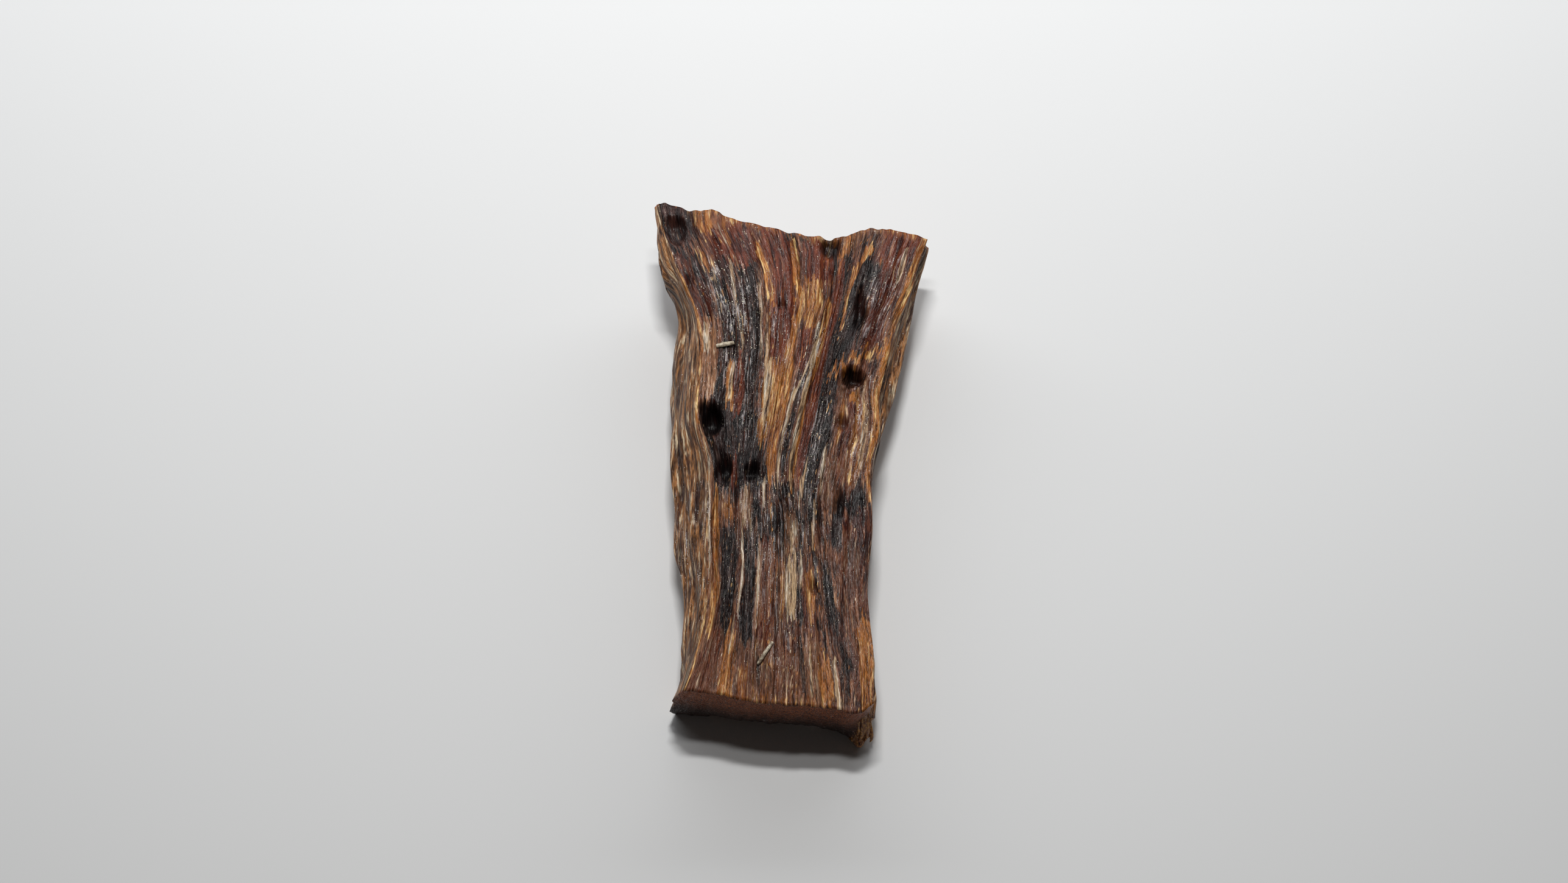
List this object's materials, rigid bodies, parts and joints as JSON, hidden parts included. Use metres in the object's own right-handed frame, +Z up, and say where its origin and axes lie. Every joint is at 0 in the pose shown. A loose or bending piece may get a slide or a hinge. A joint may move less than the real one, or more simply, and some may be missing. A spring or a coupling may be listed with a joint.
{
  "type": "piece of agarwood",
  "caption": "Split chip of resin-streaked agarwood lying flat, cut across at its narrow end and broken at its wider end, with ribs along the grain, small knots and hollows.",
  "frame": {"origin": "on the supporting surface, under the middle of the chip's bounding box", "axes": "+Z up from the surface the chip lies on, +Y along the grain from the cut narrow end to the broken wide end, +X to the right as seen from the cut end"},
  "size_m": [0.015, 0.0298, 0.006],
  "materials": {
    "agarwood": "dark resinous split wood, satin with small glints"
  },
  "bodies": {
    "root": {"agarwood_chip": "agarwood"}
  },
  "joints": []
}
